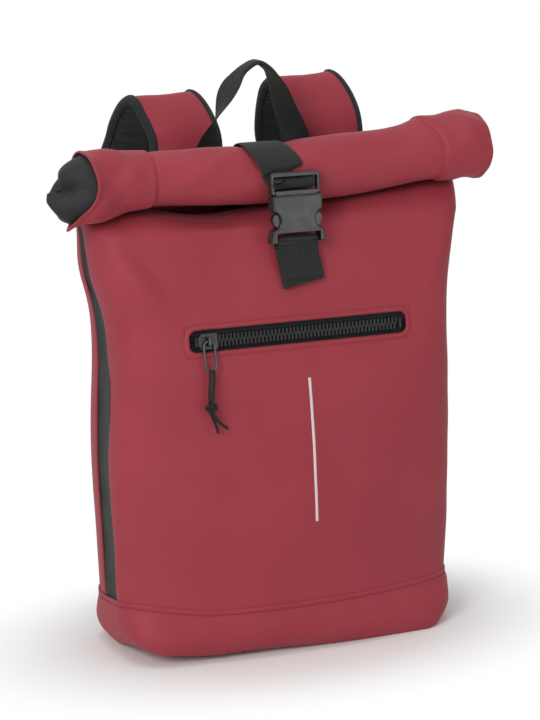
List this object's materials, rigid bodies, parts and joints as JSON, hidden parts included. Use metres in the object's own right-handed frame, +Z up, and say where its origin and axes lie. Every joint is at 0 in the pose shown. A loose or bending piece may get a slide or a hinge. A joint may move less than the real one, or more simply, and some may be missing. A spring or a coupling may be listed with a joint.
{
  "type": "travel backpack",
  "caption": "Roll-top travel backpack with a buckled closure strap, a zipped front pocket, a carry handle and padded shoulder straps.",
  "frame": {"origin": "centre of the underside of the boot, on the surface the bag stands on", "axes": "-Y is the front with the buckle and the zip, -X the left seen from the front, +Z up"},
  "size_m": [0.376, 0.2176, 0.4986],
  "materials": {
    "red_coated_cloth": "matt coated weave",
    "black_cloth": "matt weave",
    "lining_cloth": "thin plain weave",
    "foam": "closed-cell foam",
    "stiffener_plastic": "matt",
    "zip_tape_cloth": "woven tape",
    "zip_tooth_plastic": "satin moulded",
    "slider_metal": "satin black",
    "pull_cord": "braided",
    "reflective_tape": "fine glass bead",
    "black_webbing": "flat woven webbing",
    "buckle_plastic": "satin moulded",
    "air_mesh": "spacer mesh"
  },
  "bodies": {
    "bag": {"front_panel": "red_coated_cloth", "back_panel": "red_coated_cloth", "side_strip_left": "black_cloth", "side_strip_right": "black_cloth", "base_boot": "red_coated_cloth", "base_foam": "foam", "back_foam": "foam", "laptop_sleeve": "lining_cloth", "pocket_bag": "lining_cloth", "rolled_collar": "red_coated_cloth", "collar_stiffener": "stiffener_plastic", "reflective_stripe": "reflective_tape", "zip_tape_upper": "zip_tape_cloth", "zip_tape_lower": "zip_tape_cloth", "zip_teeth_upper": "zip_tooth_plastic", "zip_teeth_lower": "zip_tooth_plastic", "zip_end_stops": "zip_tooth_plastic", "tab_webbing": "black_webbing", "buckle_socket": "buckle_plastic", "closure_strap_rear": "black_webbing", "yoke": "black_webbing", "back_pad_left": "air_mesh", "back_pad_right": "air_mesh", "strap_root_left": "red_coated_cloth", "strap_root_right": "red_coated_cloth", "corner_tab_left": "black_webbing", "corner_tab_right": "black_webbing"},
    "zip_slider": {"slider_body": "slider_metal", "slider_underplate": "slider_metal"},
    "zip_puller": {"puller_ring": "slider_metal", "puller_cord": "pull_cord", "puller_knot": "pull_cord"},
    "closure": {"buckle_plug": "buckle_plastic", "closure_strap_front": "black_webbing"},
    "buckle_arm_l": {"buckle_arm_left": "buckle_plastic"},
    "buckle_arm_r": {"buckle_arm_right": "buckle_plastic"},
    "handle": {"carry_handle": "black_webbing"},
    "strap_l": {"strap_face_left": "red_coated_cloth", "strap_mesh_left": "air_mesh", "strap_binding_left": "black_webbing", "ladder_lock_left": "buckle_plastic", "strap_webbing_left": "black_webbing"},
    "strap_r": {"strap_face_right": "red_coated_cloth", "strap_mesh_right": "air_mesh", "strap_binding_right": "black_webbing", "ladder_lock_right": "buckle_plastic", "strap_webbing_right": "black_webbing"}
  },
  "joints": [
    {"name": "zip_slide", "type": "slide", "parent": "bag", "child": "zip_slider", "axis": [1, 0, 0], "range_m": [0, 0.167]},
    {"name": "puller_swing", "type": "hinge", "parent": "zip_slider", "child": "zip_puller", "pos_m": [-0.084, -0.05811, 0.28434], "axis": [-1, 0, 0], "range_deg": [0, 140]},
    {"name": "buckle_release", "type": "slide", "parent": "bag", "child": "closure", "axis": [0, 0.1004, 0.9949], "range_m": [0, 0.038], "deforming": ["buckle_arm_left", "buckle_arm_right"]},
    {"name": "buckle_arm_left_press", "type": "hinge", "parent": "closure", "child": "buckle_arm_l", "pos_m": [-0.0147, -0.04416, 0.40081], "axis": [0, -0.9949, 0.1004], "range_deg": [0, 8], "stiffness_Nm_per_rad": 1.5},
    {"name": "buckle_arm_right_press", "type": "hinge", "parent": "closure", "child": "buckle_arm_r", "pos_m": [0.0147, -0.04416, 0.40081], "axis": [0, 0.9949, -0.1004], "range_deg": [0, 8], "stiffness_Nm_per_rad": 1.5},
    {"name": "handle_swing", "type": "hinge", "parent": "bag", "child": "handle", "pos_m": [0, 0.04693, 0.3725], "axis": [1, 0, 0], "range_deg": [-3, 5]},
    {"name": "strap_left_swing", "type": "hinge", "parent": "bag", "child": "strap_l", "pos_m": [-0.099, 0.0569, 0.34], "axis": [0.1305, -0.0192, 0.9913], "range_deg": [0, 25]},
    {"name": "strap_right_swing", "type": "hinge", "parent": "bag", "child": "strap_r", "pos_m": [0.099, 0.0569, 0.34], "axis": [0.1305, 0.0192, -0.9913], "range_deg": [0, 25]}
  ]
}
